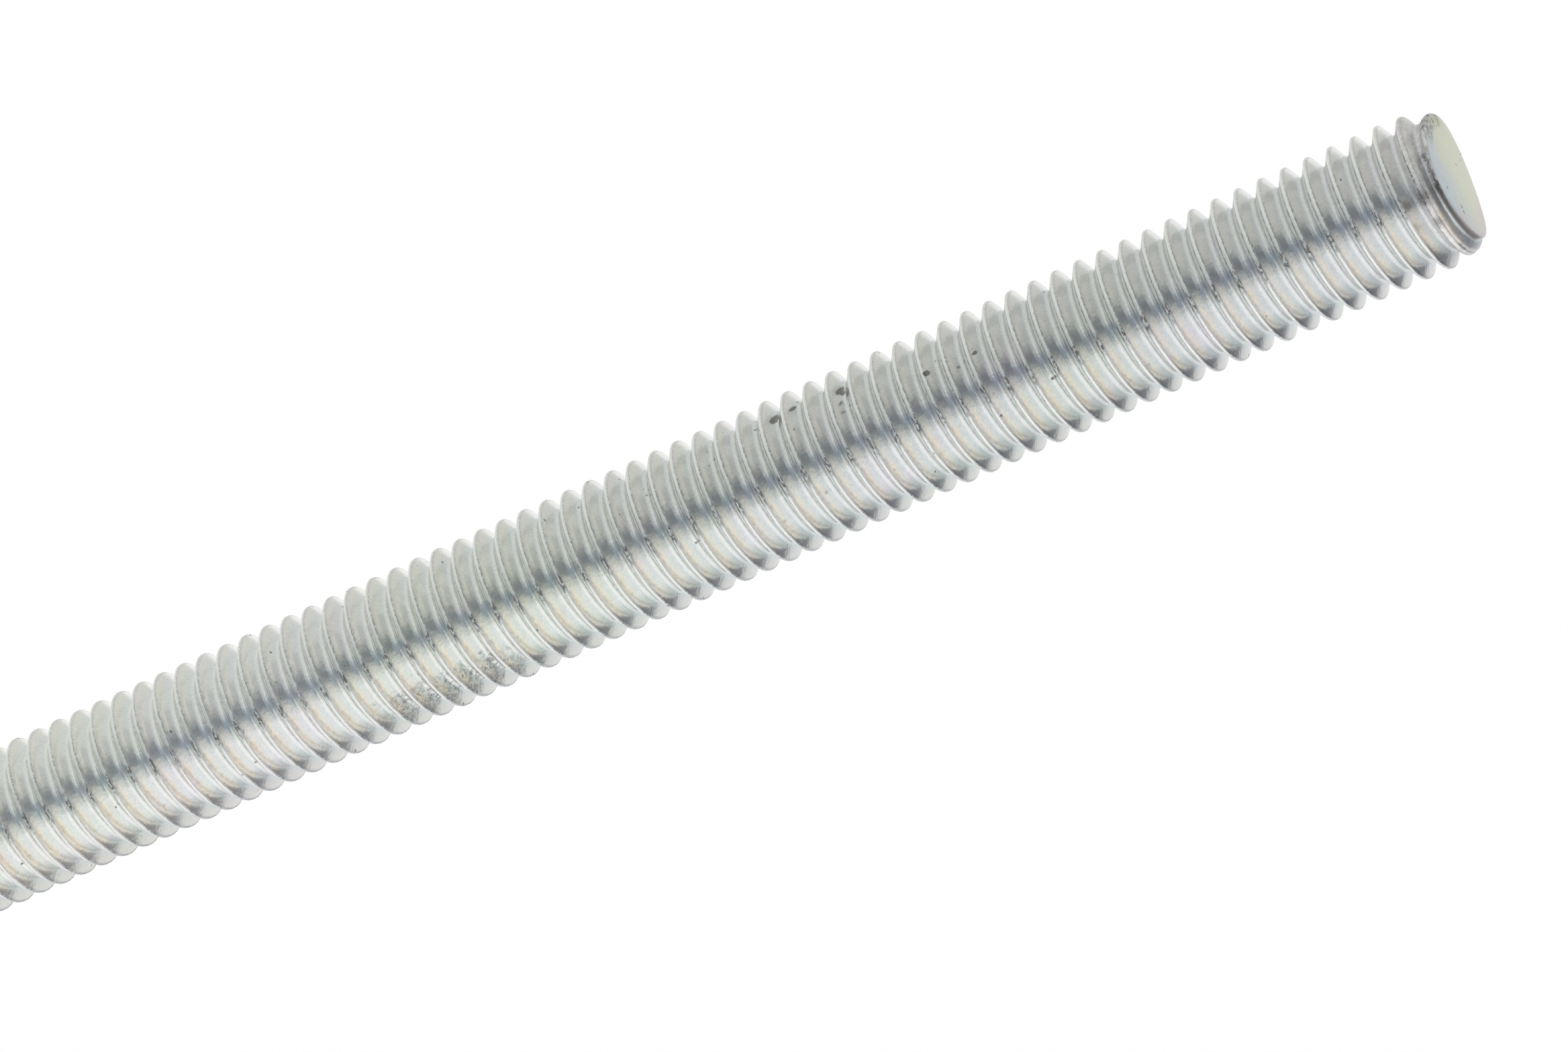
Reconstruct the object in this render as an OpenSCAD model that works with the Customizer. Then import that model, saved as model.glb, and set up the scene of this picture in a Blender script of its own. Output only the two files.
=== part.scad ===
// Threaded rod: a zinc-plated steel rod with a coarse M8 thread rolled along its whole length
// and a plain square cut with a broken edge at both ends.
// The rod lies along X with its middle at the origin, and +Z is up. Sizes are in millimetres.
// The ridges are drawn as rings, with the thread's true section, pitch and diameter and no lead.

/* [Rod] */
// Length from one cut end to the other
rod_length = 200; // [20:1:1000]
// Diameter over the thread's crests
thread_d = 7.8; // [3:0.05:24]

/* [Thread] */
// Distance from one crest to the next
pitch = 1.25; // [0.5:0.05:3]
// Angle between the two flanks of a ridge
flank_angle = 60; // [45:1:75]
// Width of the flat on top of a ridge
crest_w = 0.13; // [0.05:0.01:0.6]
// Width of the flat at the bottom of a groove
root_w = 0.23; // [0.05:0.01:0.6]

/* [Cut ends] */
// Length of the sloping edge behind each end face, along the rod
edge_length = 1.6; // [0.2:0.05:3]
// How far the sloping edge drops below the crests at the end face
edge_drop = 0.52; // [0.1:0.01:1.5]

/* [Hidden] */
$fn = 96;
zinc_plate = [0.76, 0.77, 0.75];

crest_r = thread_d / 2;
end_face_r = crest_r - edge_drop;
flank_slope = tan(flank_angle / 2);                     // width gained for each millimetre of depth
thread_depth = (pitch - crest_w - root_w) / 2 / flank_slope;
root_r = crest_r - thread_depth;

// The ridges are made a little taller than the blank, so that the blank's surface forms the crests.
ridge_lift = crest_w / (4 * flank_slope);
ridge_tip_r = crest_r + ridge_lift;
ridge_tip_w = crest_w / 2;
ridge_foot_w = pitch - root_w;
ridges_each_side = ceil(rod_length / 2 / pitch) + 1;

// Turns an outline of [distance along the rod, radius] points about the rod's own axis.
module turned(outline) {
    rotate([0, 90, 0])
        rotate_extrude()
            polygon([for (p = outline) [p[1], p[0]]]);
}

// The smooth round blank, with its broken edges.
module blank() {
    half = rod_length / 2;
    turned([
        [-half, 0],
        [-half, end_face_r],
        [-half + edge_length, crest_r],
        [half - edge_length, crest_r],
        [half, end_face_r],
        [half, 0],
    ]);
}

// One ridge after another, on a core of the root's radius, run past both ends of the blank.
module ridges() {
    ridge = [
        [-ridge_foot_w / 2, root_r],
        [-ridge_tip_w / 2, ridge_tip_r],
        [ridge_tip_w / 2, ridge_tip_r],
        [ridge_foot_w / 2, root_r],
    ];
    reach = ridges_each_side * pitch + ridge_foot_w / 2;
    turned([
        [-reach, 0],
        for (i = [-ridges_each_side : ridges_each_side]) for (p = ridge) [i * pitch + p[0], p[1]],
        [reach, 0],
    ]);
}

module threaded_rod() {
    color(zinc_plate)
        intersection() {
            blank();
            ridges();
        }
}

threaded_rod();
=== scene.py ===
# %% [markdown]
# # A threaded rod, rolled and zinc plated
#
# A threaded rod is one bar of steel with a screw thread squeezed into its skin by rolling dies,
# then plated with zinc and passivated. The CAD frame holds its true length, diameter and pitch.
# Here the rod gets its real right-hand helix, its cut ends and its bright, faintly iridescent skin.

# %% Load the frame
import math

import bpy
import numpy as np
from mathutils import Matrix, Vector


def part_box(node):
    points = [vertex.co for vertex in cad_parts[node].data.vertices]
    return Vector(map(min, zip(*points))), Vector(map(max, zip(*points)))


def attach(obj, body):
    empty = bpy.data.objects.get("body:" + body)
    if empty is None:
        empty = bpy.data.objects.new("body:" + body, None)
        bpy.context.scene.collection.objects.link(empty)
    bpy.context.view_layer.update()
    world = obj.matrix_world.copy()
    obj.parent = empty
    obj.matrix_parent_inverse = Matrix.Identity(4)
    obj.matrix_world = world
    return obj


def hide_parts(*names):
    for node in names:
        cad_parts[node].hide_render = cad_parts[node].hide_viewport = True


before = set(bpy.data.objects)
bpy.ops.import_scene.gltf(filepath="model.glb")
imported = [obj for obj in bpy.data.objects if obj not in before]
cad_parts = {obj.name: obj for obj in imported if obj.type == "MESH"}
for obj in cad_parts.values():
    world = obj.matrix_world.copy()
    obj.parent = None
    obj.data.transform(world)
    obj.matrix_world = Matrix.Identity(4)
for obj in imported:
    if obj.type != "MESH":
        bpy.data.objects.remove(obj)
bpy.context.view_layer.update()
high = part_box("threaded_rod")[1]
MM = 0.001
half_length = high.x / MM
crest_radius = high.z / MM
print(f"rod {2 * half_length:.1f} mm long and {2 * crest_radius:.2f} mm across its crests")

# %% [markdown]
# ## The section of the thread
#
# Cut the rod along its axis and its edge is a row of equal teeth. The flanks meet at 60 degrees.
# Rolling leaves a rounded root and a narrow crest, where the metal pushed up from both sides
# closes in a fine seam. One formula gives the height from the distance to the nearest crest,
# so the same curve serves the surface, its normals and the cut ends.

# %% Sizes of the thread, in millimetres
PITCH = 1.25
THREAD_DEPTH = 0.767
FLANK_SLOPE = 1 / math.tan(math.radians(30))
ROOT_RADIUS = 0.2
CREST_ROUNDING = 0.08
SEAM_DEPTH = 0.010
SEAM_WIDTH = 0.022


def blend_low(a, b, width):
    """The lower of two heights, with the corner between them rounded over the given height."""
    share = np.clip(0.5 + 0.5 * (b - a) / width, 0, 1)
    return b + (a - b) * share - width * share * (1 - share)


def tooth(offset):
    """Height above the thread's root: straight flanks, a rounded crest with a seam, an arc at the root.

    offset is the distance along the rod from the middle of the nearest crest. The arc touches the
    flank where its own slope equals the flank's, so root and flank join without a corner.
    """
    away = np.abs(offset)
    from_root = PITCH / 2 - away
    touch = ROOT_RADIUS * math.sin(math.radians(60))
    arc = ROOT_RADIUS - np.sqrt(ROOT_RADIUS**2 - np.minimum(from_root, touch) ** 2)
    flank = ROOT_RADIUS / 2 + (from_root - touch) * FLANK_SLOPE
    side = np.where(from_root < touch, arc, flank)
    top = blend_low(side, THREAD_DEPTH, CREST_ROUNDING)
    seam = SEAM_DEPTH * np.exp(-((away / SEAM_WIDTH) ** 2))
    return top - seam


at_seam, at_root = tooth(np.array([0.0, PITCH / 2]))
print(f"a tooth is {at_seam:.3f} mm high at its seam, the root {at_root:.3f} mm")

# %% [markdown]
# ## The skin of the rod as one function
#
# Every point of the skin is given by two numbers: the angle around the axis and the place along it.
# A right-hand helix moves one pitch towards +X for each full turn. Close to a cut end the crests are
# knocked down by the broken edge, and the groove fades out before it reaches the end face.

# %% Radius of the skin
CREST_START = half_length - 1.13 * PITCH  # where the last full crest passes over the top of the rod
TOP_TURN = math.radians(20)  # that top line lies this far behind +Z, highest as the camera stands
EDGE_LENGTH = 1.7  # length of the broken edge
EDGE_DROP = 0.52  # how far the broken edge lies below the crests at the end face
EDGE_CORNER = 0.16  # height over which the broken edge rounds into the thread
END_RADIUS = crest_radius - EDGE_DROP
FADE = 0.10  # distance from the face in which the groove fades out
WEAR = 0.012  # mean share of its height that a crest lost
WEAR_RATE = 5.1  # how fast that wear changes from turn to turn
SQUASH = 0.6  # share that the last ridge lost
rng = np.random.default_rng(7)
WAVES = [(rng.uniform(0.2, 2.4), rng.uniform(0, 2 * math.pi)) for _ in range(9)]


def waver(along):
    """A slow, never repeating ripple between about -1 and 1: the mean of sines of unlike lengths."""
    return sum(np.sin(along * rate + start) for rate, start in WAVES) / math.sqrt(len(WAVES))


def smooth(value, start, end):
    """0 before start and 1 after end, with a smooth step between."""
    share = np.clip((value - start) / (end - start), 0, 1)
    return share * share * (3 - 2 * share)


def squashed(angle, along):
    """Share of its height that the cut ridge lost, where the last groove runs out into the +X face.

    turn is the angle past the top, from -90 to 270 degrees, so the ridge fades in behind the top.
    """
    turn = np.mod(angle + TOP_TURN + math.pi / 2, 2 * math.pi) - math.pi / 2
    groove = CREST_START + (0.5 + turn / (2 * math.pi)) * PITCH
    return SQUASH * smooth(along - groove, 0, 0.15) * smooth(np.degrees(turn), -60, -20)


def skin_radius(angle, along):
    """Radius of the rod's skin: the tooth wound into a helix, lowered at the broken edge of each end."""
    turns = (along - CREST_START) / PITCH - (angle + TOP_TURN) / (2 * math.pi)
    offset = (turns - np.round(turns)) * PITCH
    path = along / PITCH - offset / PITCH
    worn = WEAR * (1 + waver(path * WEAR_RATE))
    depth = np.clip(half_length - np.abs(along), 0, None)
    thread = crest_radius - THREAD_DEPTH + tooth(offset) * (1 - worn) * (1 - squashed(angle, along))
    cone = END_RADIUS + depth * (crest_radius - END_RADIUS) / EDGE_LENGTH
    limited = blend_low(thread, cone, EDGE_CORNER)
    return END_RADIUS + (limited - END_RADIUS) * smooth(depth, 0, FADE)


def skin_point(angle, along):
    """The angle is measured from the top (+Z) towards the front (-Y)."""
    radius = skin_radius(angle, along)
    return np.stack([along + 0 * angle, -radius * np.sin(angle), radius * np.cos(angle)], -1)


def skin_normal(angle, along, step=1e-3):
    """Outward normal, from the slope of the radius along the rod and around it."""
    radius = skin_radius(angle, along)
    slope_x = (skin_radius(angle, along + step) - skin_radius(angle, along - step)) / (2 * step)
    slope_a = (skin_radius(angle + step, along) - skin_radius(angle - step, along)) / (2 * step)
    outward = np.stack([0 * angle, -np.sin(angle), np.cos(angle)], -1)
    around = np.stack([0 * angle, -np.cos(angle), -np.sin(angle)], -1)
    axis = np.array([1.0, 0.0, 0.0])
    normal = outward - slope_x[..., None] * axis - (slope_a / radius)[..., None] * around
    return normal / np.linalg.norm(normal, axis=-1, keepdims=True)


# %% [markdown]
# ## The mesh
#
# A plain grid would cut across the thread and make a ragged crest. So the grid is wound with the
# thread: each column is a step around the helix, and each row is one line of the tooth, such as the
# crest's seam or the foot of a flank. Rows lie close where the tooth is curved. The last row of
# one turn is the first row of the next, so the strip closes on itself without a seam.
#
# The same columns and rows give the bake map. The unwound strip is over three metres long and under
# two millimetres wide, so it is cut into lines of four turns, laid one above the other.

# %% Wind the strip
COLUMNS = 48  # columns in one turn
ROWS = np.array([-0.625, -0.54, -0.452, -0.115, -0.08, -0.045, 0.0, 0.045, 0.08, 0.115, 0.452, 0.54])
END_ZONE = 1.9  # length of each end that the strip leaves to the end caps
LINE_COLUMNS = 4 * COLUMNS  # columns of the strip on one line of the bake map
STRIP_TOP = 0.92  # share of the map's height that the strip's lines take
MAP_EDGE = 0.002  # free border at both ends of a line
LINE_GAP = 0.06  # free border above and below a line, as a share of its height


def strip_place(line, column, row, lines):
    """Place on the bake map. Rows lie as far apart as they do over the tooth, with a gap between lines."""
    offsets = np.append(ROWS, PITCH / 2)
    steps = np.hypot(np.diff(offsets), np.diff(tooth(offsets)))
    reach = np.append(0, np.cumsum(steps)) / steps.sum()
    u = MAP_EDGE + (1 - 2 * MAP_EDGE) * (column / LINE_COLUMNS - line)
    v = (line + LINE_GAP + (1 - 2 * LINE_GAP) * reach[row]) * STRIP_TOP / lines
    return np.stack([u, v], -1)


def wound_strip():
    """Points, triangles and map of the helical strip, with both ends gathered onto plain circles.

    Row j of column i lies at the crest's place for that column plus the row's offset. Points past
    the end zone's plane are moved onto it, where all rows of a column meet in one point.
    """
    limit = half_length - END_ZONE
    first = math.floor((-limit - CREST_START) / PITCH) - 1
    turns = math.ceil((limit - CREST_START) / PITCH) + 2 - first
    column = np.arange(turns * COLUMNS + 1)
    angle = column * 2 * math.pi / COLUMNS
    crest = CREST_START + (first + column / COLUMNS + TOP_TURN / (2 * math.pi)) * PITCH
    along = np.clip(crest[:, None] + ROWS, -limit, limit)
    index = np.arange(along.size).reshape(along.shape)
    closed = np.full((len(column), len(ROWS) + 1), -1)
    closed[:, :-1] = index
    closed[:-COLUMNS, -1] = index[COLUMNS:, 0]
    closed[-COLUMNS:, -1] = index[-COLUMNS:, -1]
    spoke = (column % COLUMNS)[:, None] + 0 * index
    new_id = index + 2 * COLUMNS
    new_id[along <= -limit] = spoke[along <= -limit]
    new_id[along >= limit] = COLUMNS + spoke[along >= limit]
    quads = np.stack([closed[:-1, :-1], closed[1:, :-1], closed[1:, 1:], closed[:-1, 1:]], -1)
    quads = new_id.reshape(-1)[quads.reshape(-1, 4)]
    i, j = np.meshgrid(column[:-1], np.arange(len(ROWS)), indexing="ij")
    line, lines = i // LINE_COLUMNS, math.ceil(turns * COLUMNS / LINE_COLUMNS)
    corners = ((0, 0), (1, 0), (1, 1), (0, 1))
    quad_map = [strip_place(line, i + di, j + dj, lines) for di, dj in corners]
    quad_map = np.stack(quad_map, -2).reshape(-1, 4, 2)
    triangles = np.concatenate([quads[:, [0, 1, 2]], quads[:, [0, 2, 3]]])
    places = np.concatenate([quad_map[:, [0, 1, 2]], quad_map[:, [0, 2, 3]]])
    a, b, c = triangles.T
    full = (a != b) & (b != c) & (c != a)
    ring_angle = np.arange(COLUMNS) * 2 * math.pi / COLUMNS
    all_angle = np.concatenate([ring_angle, ring_angle, (angle[:, None] + 0 * along).ravel()])
    all_along = np.concatenate([0 * ring_angle - limit, 0 * ring_angle + limit, along.ravel()])
    return all_angle, all_along, triangles[full], places[full]


strip_angle, strip_along, strip_faces, strip_map = wound_strip()
print(f"strip: {len(strip_angle)} points, {len(strip_faces)} triangles")

# %% [markdown]
# The ends need square rows instead, because a cut end is a flat plane across the axis. Twice as many
# columns carry the knocked-down crest, a small round at the rim and the end face itself.

# %% Close the ends
END_COLUMNS = 2 * COLUMNS
END_ROWS = 36
RIM_ROUND, TOP_ROUND = 0.09, 0.11
ROUND_BENDS = np.radians([22, 45, 67, 90])  # the rim's round, row by row
FACE_RINGS = (0.93, 0.82, 0.66, 0.48, 0.3, 0.12)  # rings across the face, as shares of its radius
BEND_REACH = 0.9  # distance from the face in which the skin follows the face's bend
FACE_ROW = END_ROWS + 2  # the row where the rim's round meets the end face
BANDS_MIDDLE, BAND_GAP, BAND_WIDTH = 0.35, 0.005, 0.34  # the two end zones on the bake map
BAND_LOW, BAND_HEIGHT = 0.93, 0.065
DISCS_MIDDLE, DISC_SHIFT = (0.80, 0.963), 0.05  # the two end faces on the bake map
DISC_SCALE = 0.01  # share of the map for a millimetre of an end face


def cut_face(angle, share):
    """How far the cut face stands out of its flat plane: a shear leaves it bent like a saddle."""
    a = angle + TOP_TURN
    bend = 0.05 * np.cos(a) - 0.10 * np.sin(a) + 0.12 * np.cos(2 * a) - 0.04 * np.sin(2 * a) - 0.09
    return share**2 * bend


def rim_round(angle):
    """Radius of the round between skin and face, which grows by TOP_ROUND over the top."""
    return RIM_ROUND + TOP_ROUND * np.clip(np.cos(angle + TOP_TURN), 0, 1) ** 2


def end_cap(side):
    """Rows from the end zone's plane to the rim, then rings across the end face to its middle."""
    angle = np.arange(END_COLUMNS) * 2 * math.pi / END_COLUMNS
    steps = np.linspace(0, 1, END_ROWS)[1:]
    round_off = rim_round(angle)
    start, length = half_length - END_ZONE, END_ZONE - round_off
    rows = [skin_point(angle, side * (start + length * step)) for step in steps]
    rim = np.linalg.norm(rows[-1][:, 1:], axis=1)
    face = []
    for bend in ROUND_BENDS:
        inward, below = round_off * (1 - math.cos(bend)), round_off * (1 - math.sin(bend))
        face.append((rim - inward, half_length - below))
    face += [((rim - round_off) * share, half_length) for share in FACE_RINGS]
    for radius, x in face:
        rows.append(np.stack([0 * angle + side * x, -radius * np.sin(angle), radius * np.cos(angle)], -1))
    rows = np.array(rows)
    if side > 0:
        reach = np.linalg.norm(rows[..., 1:], axis=-1) / END_RADIUS
        near_end = np.clip(1 - (half_length - rows[..., 0]) / BEND_REACH, 0, 1)
        rows[..., 0] += cut_face(angle, np.minimum(reach, 1)) * near_end
    return rows


def ring_faces(a, b, c, d):
    """Two triangles for each cell between two rings: a, b on the first ring and d, c on the second."""
    return np.concatenate([np.stack([a, b, c], 1), np.stack([a, c, d], 1)])


def fan_faces(a, b, c, d, e):
    """Three triangles for each cell between a coarse ring, with a, b, and a fine one, with c, d, e."""
    return np.concatenate([np.stack([a, b, d], 1), np.stack([a, d, c], 1), np.stack([b, e, d], 1)])


def follow(ring):
    """The ring shifted by one, so that each point meets the one after it."""
    return np.roll(ring, -1, axis=0)


def band_place(side, row, column):
    """Place on the bake map of an end zone's point: a band above the strip's lines, one for each end."""
    u = BANDS_MIDDLE + side * (BAND_GAP + BAND_WIDTH * column / END_COLUMNS)
    v = BAND_LOW + BAND_HEIGHT * (row + 1) / (FACE_ROW + 1)
    return np.stack([u, v + 0 * u], -1)


def face_place(side, points):
    """Place on the bake map of an end face's point: a disc beside the bands, one for each end."""
    u = DISCS_MIDDLE[0] + side * (DISC_SHIFT + DISC_SCALE * points[:, 1])
    v = DISCS_MIDDLE[1] + DISC_SCALE * points[:, 2]
    return np.stack([u, v], -1)


def cap_map(side, cap):
    """The map's places for the triangles of a cap, in the order in which rod_mesh makes them."""
    turn = np.arange(END_COLUMNS)
    even = turn[::2]
    cell = ((-1, 0), (-1, 2), (0, 0), (0, 1), (0, 2))
    places = [fan_faces(*(band_place(side, row, even + step) for row, step in cell))]
    for row in range(FACE_ROW):
        cell = ((row, 0), (row, 1), (row + 1, 1), (row + 1, 0))
        places.append(ring_faces(*(band_place(side, r, turn + step) for r, step in cell)))
    discs = [face_place(side, ring) for ring in cap[FACE_ROW:]]
    places += [ring_faces(a, follow(a), follow(d), d) for a, d in zip(discs, discs[1:])]
    centre = 0 * discs[-1] + face_place(side, np.zeros((1, 3)))
    places.append(np.stack([discs[-1], follow(discs[-1]), centre], 1))
    return np.concatenate(places)


def rod_mesh():
    """Points, triangles, normals, cut share and bake map of the rod.

    A zero normal means that Blender works it out. The cut share is 0 on the thread, rises over the
    round of the rim and is 1 on the end faces. The map gives a place for each corner of a triangle.
    """
    points = [skin_point(strip_angle, strip_along)]
    normals = [skin_normal(strip_angle, strip_along)]
    faces = [strip_faces]
    places = [strip_map]
    cut = [np.zeros(len(strip_angle))]
    used = len(strip_angle)
    for side, ring_start in ((-1, 0), (1, COLUMNS)):
        cap = end_cap(side)
        middle = np.array([[side * half_length, 0.0, 0.0]])
        index = used + np.arange(cap.shape[0] * END_COLUMNS).reshape(cap.shape[:2])
        ring = ring_start + np.arange(COLUMNS)
        even, odd = index[0, 0::2], index[0, 1::2]
        part = [fan_faces(ring, follow(ring), even, odd, follow(even))]
        part += [ring_faces(a, follow(a), follow(d), d) for a, d in zip(index, index[1:])]
        centre = np.full(END_COLUMNS, used + index.size)
        part.append(np.stack([index[-1], follow(index[-1]), centre], 1))
        part, part_map = np.concatenate(part), cap_map(side, cap)
        faces.append(part if side > 0 else part[:, ::-1])
        places.append(part_map if side > 0 else part_map[:, ::-1])
        points += [cap.reshape(-1, 3), middle]
        normals.append(np.zeros((index.size + 1, 3)))
        row = np.arange(len(cap))
        cut += [np.repeat(np.clip((row - END_ROWS + 2) / 4, 0, 1), END_COLUMNS), [1.0]]
        used += index.size + 1
    joined = (np.concatenate(part) for part in (points, faces, normals, cut, places))
    points, faces, normals, cut, places = joined
    kept, faces = np.unique(faces, return_inverse=True)
    return points[kept] * MM, faces.reshape(-1, 3), normals[kept], cut[kept], places


def mesh_object(name, points, triangles):
    """A mesh object from an array of points and an array of triangles, shaded smooth."""
    mesh = bpy.data.meshes.new(name)
    mesh.vertices.add(len(points))
    mesh.vertices.foreach_set("co", points.astype(np.float32).ravel())
    mesh.loops.add(triangles.size)
    mesh.loops.foreach_set("vertex_index", triangles.astype(np.int32).ravel())
    mesh.polygons.add(len(triangles))
    mesh.polygons.foreach_set("loop_start", np.arange(0, triangles.size, 3, dtype=np.int32))
    mesh.update(calc_edges=True)
    mesh.polygons.foreach_set("use_smooth", np.ones(len(triangles), bool))
    piece = bpy.data.objects.new(name, mesh)
    bpy.context.scene.collection.objects.link(piece)
    return piece


points, triangles, normals, cut_share, places = rod_mesh()
rod = mesh_object("rod", points, triangles)
rod.data.normals_split_custom_set_from_vertices(normals.tolist())
rod.data.uv_layers.new(name="OFBake").data.foreach_set("uv", places.astype(np.float32).ravel())
rod.data.attributes.new("cut", "FLOAT", "POINT").data.foreach_set("value", cut_share.astype(np.float32))
print(f"rod: {len(points)} points, {len(triangles)} triangles")

# %% [markdown]
# ## Arithmetic on shader sockets
#
# The finish follows the thread, so its masks are small formulas. A thin wrapper lets them be written
# as Python expressions: every operator adds one Math node, and one method makes any other node.


# %% A socket that can be calculated with
class Field:
    """A shader socket used in Python arithmetic. Field.tree is the node tree that gets the nodes."""

    tree = None

    def __init__(self, socket):
        self.socket = socket

    @classmethod
    def node(cls, kind, settings=None, values=None, output=0):
        """Add a node: first its settings, then the values or links of its sockets."""
        made = cls.tree.nodes.new(kind)
        for name, value in (settings or {}).items():
            if name == "stops":
                ramp = made.color_ramp.elements
                while len(ramp) < len(value):
                    ramp.new(0.5)
                for stop, (place, colour) in zip(ramp, value):
                    stop.position, stop.color = place, (*colour, 1)
            else:
                setattr(made, name, value)
        for name, value in (values or {}).items():
            cls.put(made.inputs[name], value)
        return cls(made.outputs[output])

    @classmethod
    def put(cls, socket, value):
        """Link a field to a socket, or set a plain number, vector or colour."""
        if isinstance(value, Field):
            cls.tree.links.new(value.socket, socket)
        elif hasattr(value, "__len__") and socket.type == "RGBA":
            socket.default_value = (*value, 1)
        else:
            socket.default_value = value

    def maths(self, operation, other=0.5, first=None):
        """One Math node with this field as its first value, or as its second after the one given."""
        a, b = (self, other) if first is None else (first, self)
        return self.node("ShaderNodeMath", {"operation": operation}, {0: a, 1: b})

    def __add__(self, other):
        return self.maths("ADD", other)

    def __sub__(self, other):
        return self.maths("SUBTRACT", other)

    def __rsub__(self, other):
        return self.maths("SUBTRACT", first=other)

    def __mul__(self, other):
        return self.maths("MULTIPLY", other)

    def __truediv__(self, other):
        return self.maths("DIVIDE", other)

    __radd__, __rmul__ = __add__, __mul__

    def rise(self, start, end):
        """0 before start and 1 after end, with a smooth step between; start may lie above end."""
        lift = {"interpolation_type": "SMOOTHSTEP"}
        if start < end:
            return self.node("ShaderNodeMapRange", lift, {0: self, 1: start, 2: end})
        return self.node("ShaderNodeMapRange", lift, {0: self, 1: end, 2: start, 3: 1.0, 4: 0.0})


def vector(x, y, z=0.0):
    """Three numbers as a vector."""
    return Field.node("ShaderNodeCombineXYZ", None, {0: x, 1: y, 2: z})


def noise(place, scale=1.0, detail=2.0, rough=0.5):
    """Soft random field around 0.5."""
    values = {"Vector": place, "Scale": scale, "Detail": detail, "Roughness": rough}
    return Field.node("ShaderNodeTexNoise", None, values)


def mix(amount, first, second):
    """Blend two colours."""
    return Field.node("ShaderNodeMix", {"data_type": "RGBA"}, {0: amount, 6: first, 7: second}, output=2)


def tinted(colour, tint):
    """A colour multiplied by another."""
    return Field.node("ShaderNodeVectorMath", {"operation": "MULTIPLY"}, {0: colour, 1: tint})


def washed(colour, mask, tint):
    """The colour multiplied by a tint where the mask is 1."""
    return mix(mask, colour, tinted(colour, tint))


# %% [markdown]
# ## The finish
#
# Zinc plate is a satin metal. Its passivation film is thinner than light's wavelength, so it shifts
# from warm cream near the crests to pale green and blue deep in the groove. The crests took the
# dies' pressure: they are rougher, with dark specks along their edges, and whiter, partly as a
# painted highlight. The colour also carries painted light and shade: lighter at the far end and on
# the lower left flanks, darker at the near end, on the underside, at the tops of the turns, across
# the upper front of the flanks and beside the crests.

# %% Thread coordinates in the shader
zinc = bpy.data.materials.new("zinc_plate")
zinc.use_nodes = True
Field.tree = zinc.node_tree
shader = zinc.node_tree.nodes["Principled BSDF"]

place = Field.node("ShaderNodeTexCoord", output=3)
place_mm = Field.node("ShaderNodeVectorMath", {"operation": "SCALE"}, {0: place, "Scale": 1000.0})
split = Field.node("ShaderNodeSeparateXYZ", None, {0: place_mm})
x, y, z = (Field(split.socket.node.outputs[k]) for k in range(3))
angle = (0 - y).maths("ARCTAN2", z)
turns = (x - CREST_START) / PITCH - (angle + TOP_TURN) / (2 * math.pi)
whole = turns.maths("ROUND")
offset = (turns - whole) * PITCH
away = offset.maths("ABSOLUTE")
path = whole + angle / (2 * math.pi)
radius = ((y * y) + (z * z)).maths("SQRT")
depth = half_length - x.maths("ABSOLUTE")
lift = z * math.cos(TOP_TURN) + y * math.sin(TOP_TURN)
cut = Field.node("ShaderNodeAttribute", {"attribute_name": "cut"}, output=2)
on_face = cut.rise(0.35, 0.95)
on_thread = 1 - on_face
print("thread coordinates ready")

# %% [markdown]
# The masks are bands across the tooth, given by offset, and bands around the rod, given by view_angle:
# the turn in degrees from the top line towards the front. Random fields make their edges ragged.

# %% Masks
view_angle = (angle + TOP_TURN) * (180 / math.pi)
specks = noise(place_mm, 9.0, 4.0, 0.7)
fleck = noise(vector(path * 90.0, offset * 10.0), 1.0, 3.0, 0.6)
patches = noise(place_mm, 5.0, 2.0)
mottle = noise(place_mm, 1.6, 3.0)
slow = noise(place_mm, 0.30, 2.0)
slower = noise(place_mm, 0.07, 2.0)
lower_half = view_angle.rise(92, 112)
# The line that faces the front, where painted shade darkens the crests.
shaded_front_line = view_angle.rise(82, 90) * view_angle.rise(107, 97)
ridge = offset + 0.035 + lower_half * 0.042 + (noise(place_mm, 8.0, 4.0, 0.65) - 0.5) * 0.15
crest = (ridge.maths("ABSOLUTE") + lower_half * 0.022).rise(0.125, 0.105) * on_thread * depth.rise(1.1, 2.6)
print("masks ready")

# %% Colour of the film, with painted light and shade
across_thread = offset / PITCH + 0.5 + (slow - 0.5) * 0.10 + (patches - 0.5) * 0.06
film = Field.node(
    "ShaderNodeValToRGB",
    {
        "stops": [
            (0.00, (0.805, 0.825, 0.81)),
            (0.10, (0.86, 0.87, 0.855)),
            (0.20, (0.91, 0.925, 0.90)),
            (0.43, (0.885, 0.90, 0.875)),
            (0.50, (0.845, 0.86, 0.835)),
            (0.56, (0.725, 0.73, 0.72)),
            (0.61, (0.77, 0.77, 0.75)),
            (0.68, (0.775, 0.77, 0.73)),
            (0.75, (0.755, 0.765, 0.745)),
            (0.81, (0.735, 0.765, 0.77)),
            (0.90, (0.745, 0.78, 0.785)),
            (1.00, (0.805, 0.825, 0.81)),
        ]
    },
    {0: across_thread},
)
film = washed(film, slower.rise(0.48, 0.62) * 0.5, (0.99, 1.015, 0.96))
film = washed(film, slow.rise(0.52, 0.70) * 0.5, (1.02, 0.965, 1.02))
cream = offset.rise(0.05, 0.10) * offset.rise(0.38, 0.20) * lower_half * view_angle.rise(152, 140)
aqua = offset.rise(0.22, 0.36) * offset.rise(0.56, 0.46) * lower_half
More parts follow.
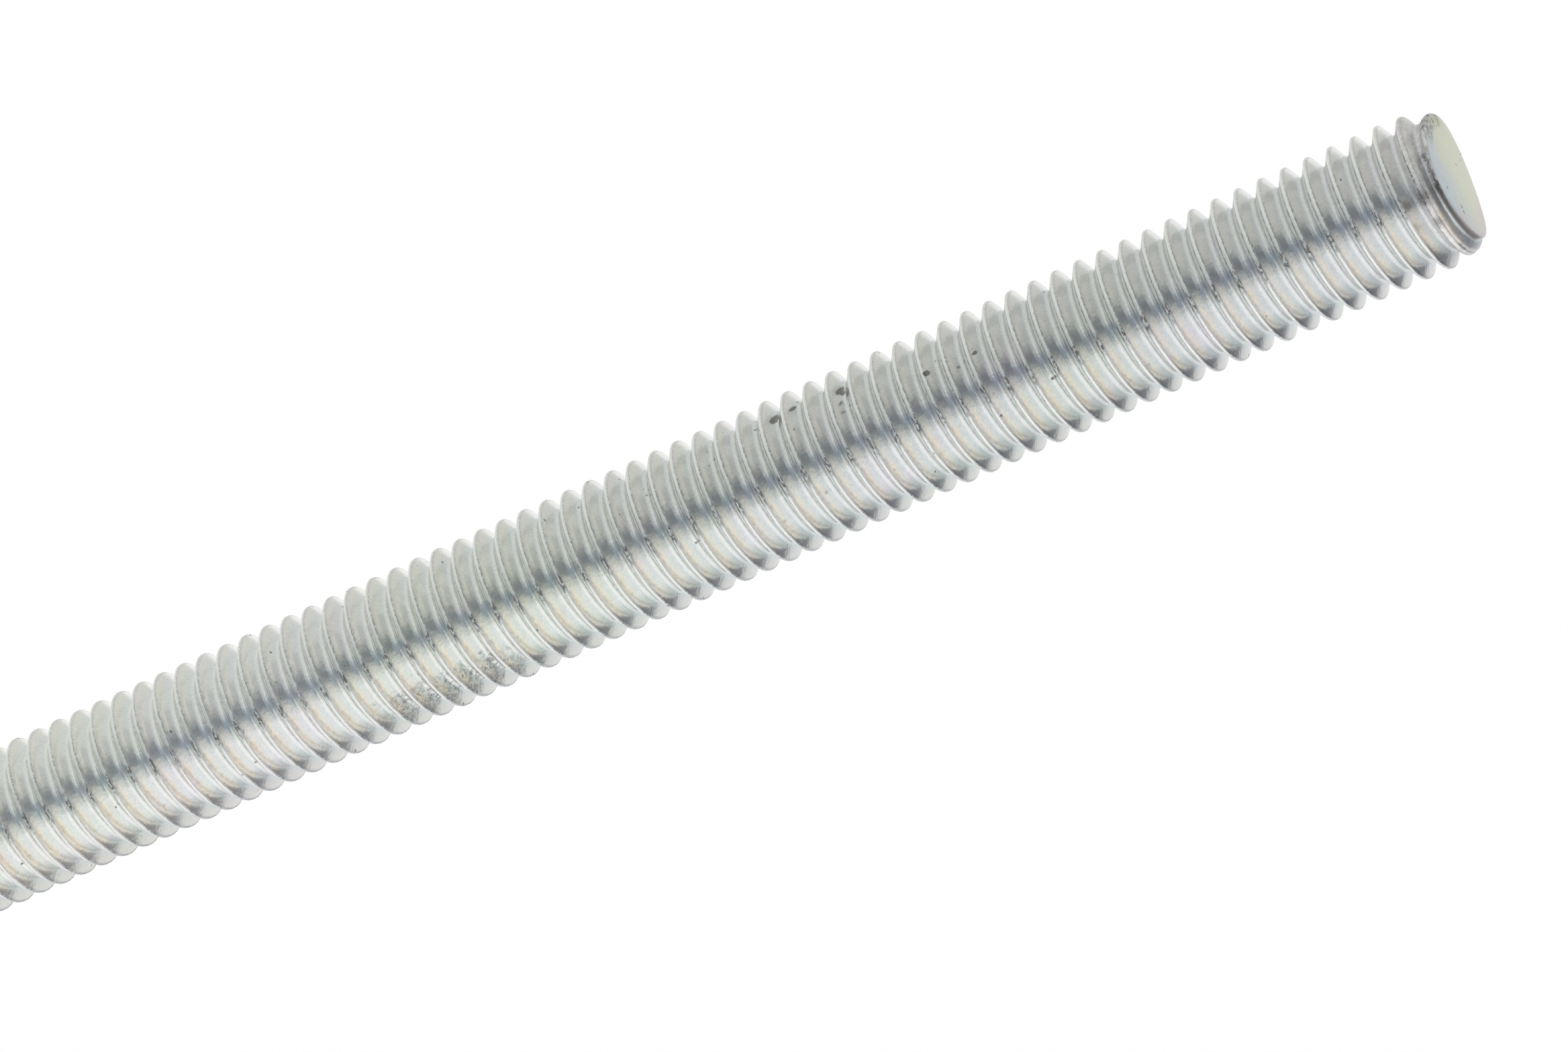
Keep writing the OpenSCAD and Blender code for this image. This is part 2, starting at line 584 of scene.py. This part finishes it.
# Painted light: the left flanks of the lower half are lighter.
painted_light_left_flanks = offset.rise(-0.10, -0.18) * lower_half
shaded = offset.rise(0.24, 0.32) * offset.rise(0.52, 0.44)
shaded = shaded * view_angle.rise(48, 58) * view_angle.rise(80, 74)
film = washed(film, cream * mottle.rise(0.30, 0.60), (1.07, 1.01, 0.90))
film = washed(film, aqua * mottle.rise(0.65, 0.35), (0.955, 1.005, 0.995))
film = washed(film, painted_light_left_flanks, (1.05, 1.05, 1.05))
# Painted shade: a darker line just past the right edge of each crest, on the lower half.
beside = offset.rise(0.01, 0.04) * offset.rise(0.13, 0.09) * lower_half
film = washed(film, beside, (0.74, 0.74, 0.75))
film = washed(film, shaded * x.rise(95, 65), (0.86, 0.85, 0.86))
# Painted light and shade: the far end of the rod is lighter, most on the lower half, and the near end is
# darker.
painted_light_far_end = mix(lower_half, tinted(film, (1.12, 1.11, 1.12)), tinted(film, (1.05, 1.03, 1.03)))
film = mix(x.rise(65, 20), film, painted_light_far_end)
film = washed(film, x.rise(50, 85), (0.955, 0.95, 0.965))
# Painted shade: darker and greyer towards the underside.
film = washed(film, view_angle.rise(136, 157), (0.79, 0.81, 0.81))
# Painted shade: the tops of the turns are darker on the left of each crest, from the middle of the rod to
# the near end.
painted_shade_caps = view_angle.rise(35, 20) * offset.rise(0.0, -0.1) * x.rise(30, 60)
film = washed(film, painted_shade_caps, (0.85, 0.85, 0.85))
grain = specks.rise(0.62, 0.38) * on_thread
film = mix(grain, tinted(film, (1.09, 1.08, 1.08)), tinted(film, (0.995, 0.985, 0.99)))
# The crests are whiter: partly their own burnished metal, partly a painted highlight that is stronger on
# the lower half.
film = mix(crest, film, mix(lower_half, (0.91, 0.93, 0.90), (0.97, 0.985, 0.96)))
# Painted shade: the crests darken along the front line, where they would reflect the dark band.
film = washed(film, crest * shaded_front_line, (0.82, 0.84, 0.86))
bruised = depth.rise(2.2, 1.3) * on_thread
film = washed(film, bruised * patches.rise(0.35, 0.65), (0.88, 0.85, 0.86))
film = washed(film, mottle.rise(0.50, 0.78) * 0.35, (0.86, 0.87, 0.88))
high = (z * 0.94 + y * 0.34) / 3.4
close = (z * 0.34 - y * 0.94) / 3.4 + (slow - 0.5) * 1.5
face_film = mix(close.rise(0.0, 0.9), (0.66, 0.68, 0.54), (0.57, 0.64, 0.68))
face_film = mix((high + (slow - 0.5) * 1.2).rise(-0.35, -0.9), face_film, (0.67, 0.57, 0.60))
face_film = washed(face_film, mottle.rise(0.4, 0.7) * 0.5, (1.06, 1.04, 0.98))
face_grain = specks.rise(0.40, 0.60)
face_film = mix(face_grain, tinted(face_film, (0.83, 0.83, 0.84)), tinted(face_film, (0.91, 0.91, 0.90)))
colour = mix(on_face, film, face_film)

# %% [markdown]
# Dirt gathers where a rag can't reach. Fine specks line both edges of the crest, a few pits and
# marks sit on the flanks, and grease stays in the last groove and at the top of the sheared face.
# Painted shade also darkens the last groove, the crests along the front line and the lower crest
# edges, and a painted dark reflection lies past each crest low on the rod.


# %% Dark specks, pits, dirt and painted shade
MARK_RADIUS = 3.55  # radius at which the single marks lie, on the flanks
MARKS = [  # distance along the rod, turn from the top line in degrees, size
    (67.9, 38, 0.14),
    (68.0, 42, 0.10),
    (64.2, 37, 0.17),
    (72.7, 59, 0.13),
    (75.3, 60, 0.09),
    (65.3, 34, 0.09),
    (68.3, 46, 0.08),
]


def spot(along, turned, size, soft=0.12):
    """A pit at a distance along the rod and a turn from the top line in degrees, size in millimetres."""
    from_middle = vector(x - along, lift - MARK_RADIUS * math.cos(math.radians(turned)))
    gap = Field.node("ShaderNodeVectorMath", {"operation": "LENGTH"}, {0: from_middle}, 1)
    ragged = gap + (specks - 0.5) * size * 1.8
    return ragged.rise(size * (1 + soft), size * (1 - soft)) * view_angle.rise(0, 5)


edge_left = ridge.rise(-0.185, -0.145) * ridge.rise(-0.09, -0.115)
edge_right = ridge.rise(0.09, 0.115) * ridge.rise(0.18, 0.13)
# Dark flecks on both crest edges, denser on the upper front. Painted shade adds flecks to the crests of the
# front line and a dark line at the left crest edge of the lower half.
upper_front = view_angle.rise(30, 66) * view_angle.rise(108, 94)
flecks_and_edge_shade = (edge_left + edge_right * 0.6) * fleck.rise(0.44, 0.50) * (0.3 + upper_front * 0.7)
flecks_and_edge_shade = flecks_and_edge_shade + crest * shaded_front_line * fleck.rise(0.48, 0.53) + edge_left * lower_half * 0.35
speckle_and_edge_shade = flecks_and_edge_shade * on_thread
cells = Field.node("ShaderNodeTexVoronoi", None, {"Vector": place_mm, "Scale": 1.3}, output=0)
cell_colour = Field.node("ShaderNodeSeparateColor", None, {0: Field(cells.socket.node.outputs[1])})
pits = (cells + (specks - 0.5) * 0.2).rise(0.13, 0.06) * cell_colour.rise(0.80, 0.82)
# Painted reflection: a dark patch just past each crest, low on the rod, where the flank would mirror a dark
# area below.
painted_dark_reflection = offset.rise(0.01, 0.04) * offset.rise(0.17, 0.09)
painted_dark_reflection = painted_dark_reflection * view_angle.rise(139, 146) * view_angle.rise(161, 154)
painted_dark_reflection = painted_dark_reflection * noise(place_mm, 5.0, 3.0, 0.6).rise(0.34, 0.58) * on_thread
stain = x.rise(39, 41) * x.rise(48, 46) * view_angle.rise(122, 134) * view_angle.rise(168, 158)
stain = stain * noise(place_mm, 4.0, 4.0, 0.75).rise(0.48, 0.58) * away.rise(0.05, 0.12)
# The last groove is darkened partly by grease and partly by painted shade.
last = turns.rise(0.34, 0.46) * on_thread * depth.rise(2.2, 1.9)
deep = last * turns.rise(0.72, 0.60) * view_angle.rise(80, 92) * view_angle.rise(180, 158)
upper = last * turns.rise(0.99, 0.90) * view_angle.rise(48, 60) * view_angle.rise(100, 86)
smear = noise(place_mm, 4.0, 4.0, 0.65)
dirt_and_groove_shade = deep * smear.rise(0.15, 0.40) * 0.88 + upper * smear.rise(0.32, 0.66) * 0.8
rim = depth.rise(0.75, 0.35) * radius.rise(2.5, 2.9) * x.rise(0, 1)
dirt_and_groove_shade = dirt_and_groove_shade + rim * view_angle.rise(-30, -5) * view_angle.rise(52, 30) * smear.rise(0.34, 0.68) * 0.75
for along, turned, size in MARKS:
    pits = pits.maths("MAXIMUM", spot(along, turned, size))
colour = washed(colour, painted_dark_reflection, (0.64, 0.67, 0.74))
scuff = spot(98.75, 93, 0.34, 0.8) * 0.8 + spot(98.9, 116, 0.22, 0.8) * 0.5
# dark holds the real specks, pits, stain and dirt together with the painted shade and the painted dark
# reflection.
dark = (speckle_and_edge_shade * 0.9 + painted_dark_reflection * 0.3 + pits * 0.85 + stain * 0.6 + scuff + dirt_and_groove_shade).maths("MINIMUM", 1.0)
colour = mix(dark, colour, (0.15, 0.14, 0.135))
print("dirt ready")

# %% [markdown]
# Crests, dirt and the sheared faces are duller than the flanks. The relief is only a fine grain of a
# few hundredths of a millimetre: every larger shape is in the mesh.

# %% Gloss and relief
rough = 0.19 + crest * 0.13 + mottle * 0.05 + dark * 0.25 + on_face * 0.12 + bruised * 0.17
metal = 1 - dark * 0.4
height = patches * 0.45 + mottle * 0.5 + specks * crest * 1.4 - dark * 0.6 + patches * on_face * -0.3
bump = Field.node("ShaderNodeBump", None, {"Strength": 0.6, "Distance": 0.00003, "Height": height})
Field.put(shader.inputs["Base Color"], colour)
Field.put(shader.inputs["Roughness"], rough)
Field.put(shader.inputs["Metallic"], metal)
Field.put(shader.inputs["Normal"], bump)
rod.data.materials.append(zinc)
print(f"zinc plate: {len(zinc.node_tree.nodes)} nodes")

# %% [markdown]
# The rod has no joint, so it rides on the frame's root, in place of the frame's plain rod.

# %% Tie the rod to the frame
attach(rod, "root")
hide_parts("threaded_rod")

# %% [markdown]
# ## Camera
#
# A long lens looks down on the rod from the front. The +X end leans towards the camera, and the
# camera is rolled, so the rod climbs to the right of the frame.

# %% Place the camera
ELEVATION = math.radians(20)
TILT = math.radians(17.05)
ROLL = math.radians(23.97)
LENS = 178.7
DISTANCE = 384.8
AIM_ALONG, AIM_DROP = half_length - 38.06, 2.14

axis = Vector((1, 0, 0))
near = Vector((0, -math.cos(ELEVATION), math.sin(ELEVATION)))
up = Vector((0, math.sin(ELEVATION), math.cos(ELEVATION)))
across = math.cos(TILT) * axis - math.sin(TILT) * near
back = math.sin(TILT) * axis + math.cos(TILT) * near
right = math.cos(ROLL) * across - math.sin(ROLL) * up
top = math.sin(ROLL) * across + math.cos(ROLL) * up
aim = axis * AIM_ALONG - up * AIM_DROP
camera = bpy.data.objects.new("camera", bpy.data.cameras.new("camera"))
bpy.context.scene.collection.objects.link(camera)
camera.data.sensor_width = 36
camera.data.lens = LENS
camera.data.clip_start = 0.01
turned = Matrix((right, top, back)).transposed()
camera.matrix_world = Matrix.LocRotScale((aim + back * DISTANCE) * MM, turned, None)
bpy.context.scene.camera = camera
print(f"camera {DISTANCE:.0f} mm from the rod")

# %% [markdown]
# ## Studio
#
# A polished thread shows what stands around it. Here that is a white floor below, a pale dome above
# and a softbox at the left. Two grey curtains stand for the dim room in front, and draw the long
# dark band along the rod. Two flags hang low at the sides and darken the foot of each turn, which
# brings out the shape of bright metal. Only reflections see these cards.


# %% World, lamp and floor
def stage_object(name, mesh, material):
    """A part of the studio, not of the rod."""
    made = bpy.data.objects.new(name, mesh)
    bpy.context.scene.collection.objects.link(made)
    made.data.materials.append(material)
    return made


DOME = (0.68, 0.70, 0.665)
world = bpy.data.worlds.new("studio")
bpy.context.scene.world = world
world.use_nodes = True
world.node_tree.nodes["Background"].inputs["Color"].default_value = (*DOME, 1)
bpy.context.scene.view_settings.view_transform = "Standard"

overhead = bpy.data.lights.new("overhead", "SUN")
overhead.angle = math.radians(100)
overhead.color = [(1 - tone) / (1 - min(DOME)) for tone in DOME]
overhead.energy = math.pi * (1 - min(DOME))
lamp = bpy.data.objects.new("overhead", overhead)
lamp.visible_glossy = False
bpy.context.scene.collection.objects.link(lamp)

FLOOR_DROP, FLOOR_SIZE = -0.3, 4.0
paper = bpy.data.materials.new("paper")
paper.use_nodes = True
paper_shader = paper.node_tree.nodes["Principled BSDF"]
Field.put(paper_shader.inputs["Base Color"], (1.0, 1.0, 1.0))
Field.put(paper_shader.inputs["Roughness"], 1.0)
Field.put(paper_shader.inputs["Specular IOR Level"], 0.0)
floor_mesh = bpy.data.meshes.new("floor")
corners = [(-1, -1), (1, -1), (1, 1), (-1, 1)]
floor_points = [(FLOOR_SIZE * a, FLOOR_SIZE * b, FLOOR_DROP) for a, b in corners]
floor_mesh.from_pydata(floor_points, [], [(0, 1, 2, 3)])
stage_object("floor", floor_mesh, paper)


# %% Cards that only reflections see
CARD_CENTRE = np.array([0.06, 0, 0])  # centre of the spheres that the cards are cut from, in metres


def grid_mesh(name, points):
    """A mesh from a grid of points, with a UV map that runs from 0 to 1 both ways."""
    columns, rows = points.shape[:2]
    index = np.arange(columns * rows).reshape(columns, rows)
    quads = np.stack([index[:-1, :-1], index[1:, :-1], index[1:, 1:], index[:-1, 1:]], -1)
    quads = quads.reshape(-1, 4)
    mesh = bpy.data.meshes.new(name)
    mesh.from_pydata(points.reshape(-1, 3).tolist(), [], quads.tolist())
    u, v = np.meshgrid(np.linspace(0, 1, columns), np.linspace(0, 1, rows), indexing="ij")
    uv = np.stack([u, v], -1).reshape(-1, 2)[quads.ravel()]
    mesh.uv_layers.new(name="card").data.foreach_set("uv", uv.astype(np.float32).ravel())
    return mesh


def card(name, azimuth, middle, half, distance, colour, soft):
    """A strip of a sphere around the rod's near end.

    azimuth runs along the strip from the front (-Y) towards +X; middle and half are the strip's
    elevation and half width for each azimuth, all in degrees. soft gives the share of the strip
    that fades in at its lower edge, its upper edge and its two ends.
    """
    across = np.linspace(-1, 1, 13)
    lift = np.radians(middle[:, None] + half[:, None] * across)
    turn = np.radians(azimuth)[:, None]
    points = np.stack([np.sin(turn) * np.cos(lift), -np.cos(turn) * np.cos(lift), np.sin(lift)], -1)
    material = bpy.data.materials.new(name)
    material.use_nodes = True
    Field.tree = material.node_tree
    Field.tree.nodes.remove(Field.tree.nodes["Principled BSDF"])
    uv = Field.node("ShaderNodeSeparateXYZ", None, {0: Field.node("ShaderNodeUVMap", {"uv_map": "card"})})
    u, v = uv, Field(uv.socket.node.outputs[1])
    low_edge, high_edge, ends = soft
    solid = v.rise(0, low_edge) * v.rise(1, 1 - high_edge) * u.rise(0, ends) * u.rise(1, 1 - ends)
    clear = Field.node("ShaderNodeBsdfTransparent")
    tone = Field.node("ShaderNodeEmission", None, {"Color": colour, "Strength": 1.0})
    both = Field.node("ShaderNodeMixShader", None, {0: solid, 1: clear, 2: tone})
    Field.put(Field.tree.nodes["Material Output"].inputs["Surface"], both)
    made = stage_object(name, grid_mesh(name, points * distance + CARD_CENTRE), material)
    for kind in ("camera", "diffuse", "transmission", "volume_scatter", "shadow"):
        setattr(made, "visible_" + kind, False)


DIM_LEFT, DIM_FRONT = (0.155, 0.185, 0.22), (0.26, 0.31, 0.37)
WHITE, FLAG_RIGHT, FLAG_BACK = (1.0, 1.0, 0.98), (0.22, 0.23, 0.26), (0.36, 0.40, 0.44)
span = np.linspace(-1, 1, 40)
oval = np.sqrt(1.01 - span**2)
left = np.linspace(-90, -26, 40)
card("dim_left", left, 0 * left + 29, 0 * left + 21, 0.9, DIM_LEFT, (0.25, 0.45, 0.15))
front = np.linspace(-36, 113, 70)
lean = smooth(front, -14, -26)
middle = 26 - 0.16 * np.clip(front, 0, None) + 4 * lean
card("dim_front", front, middle, 19 - 4 * lean, 0.95, DIM_FRONT, (0.25, 0.45, 0.08))
card("softbox", -115 + 45 * span, 0 * span + 20, 0 * span + 26, 1.0, WHITE, (0.3, 0.3, 0.15))
card("flag_right", 117 + 27 * span, 0 * oval - 32, 24 * oval, 0.3, FLAG_RIGHT, (0.2, 0.2, 0.1))
card("flag_back", -143 + 30 * span, 0 * oval - 40, 33 * oval, 0.3, FLAG_BACK, (0.2, 0.2, 0.1))
print(f"floor {-FLOOR_DROP:.1f} m below the rod, five cards")
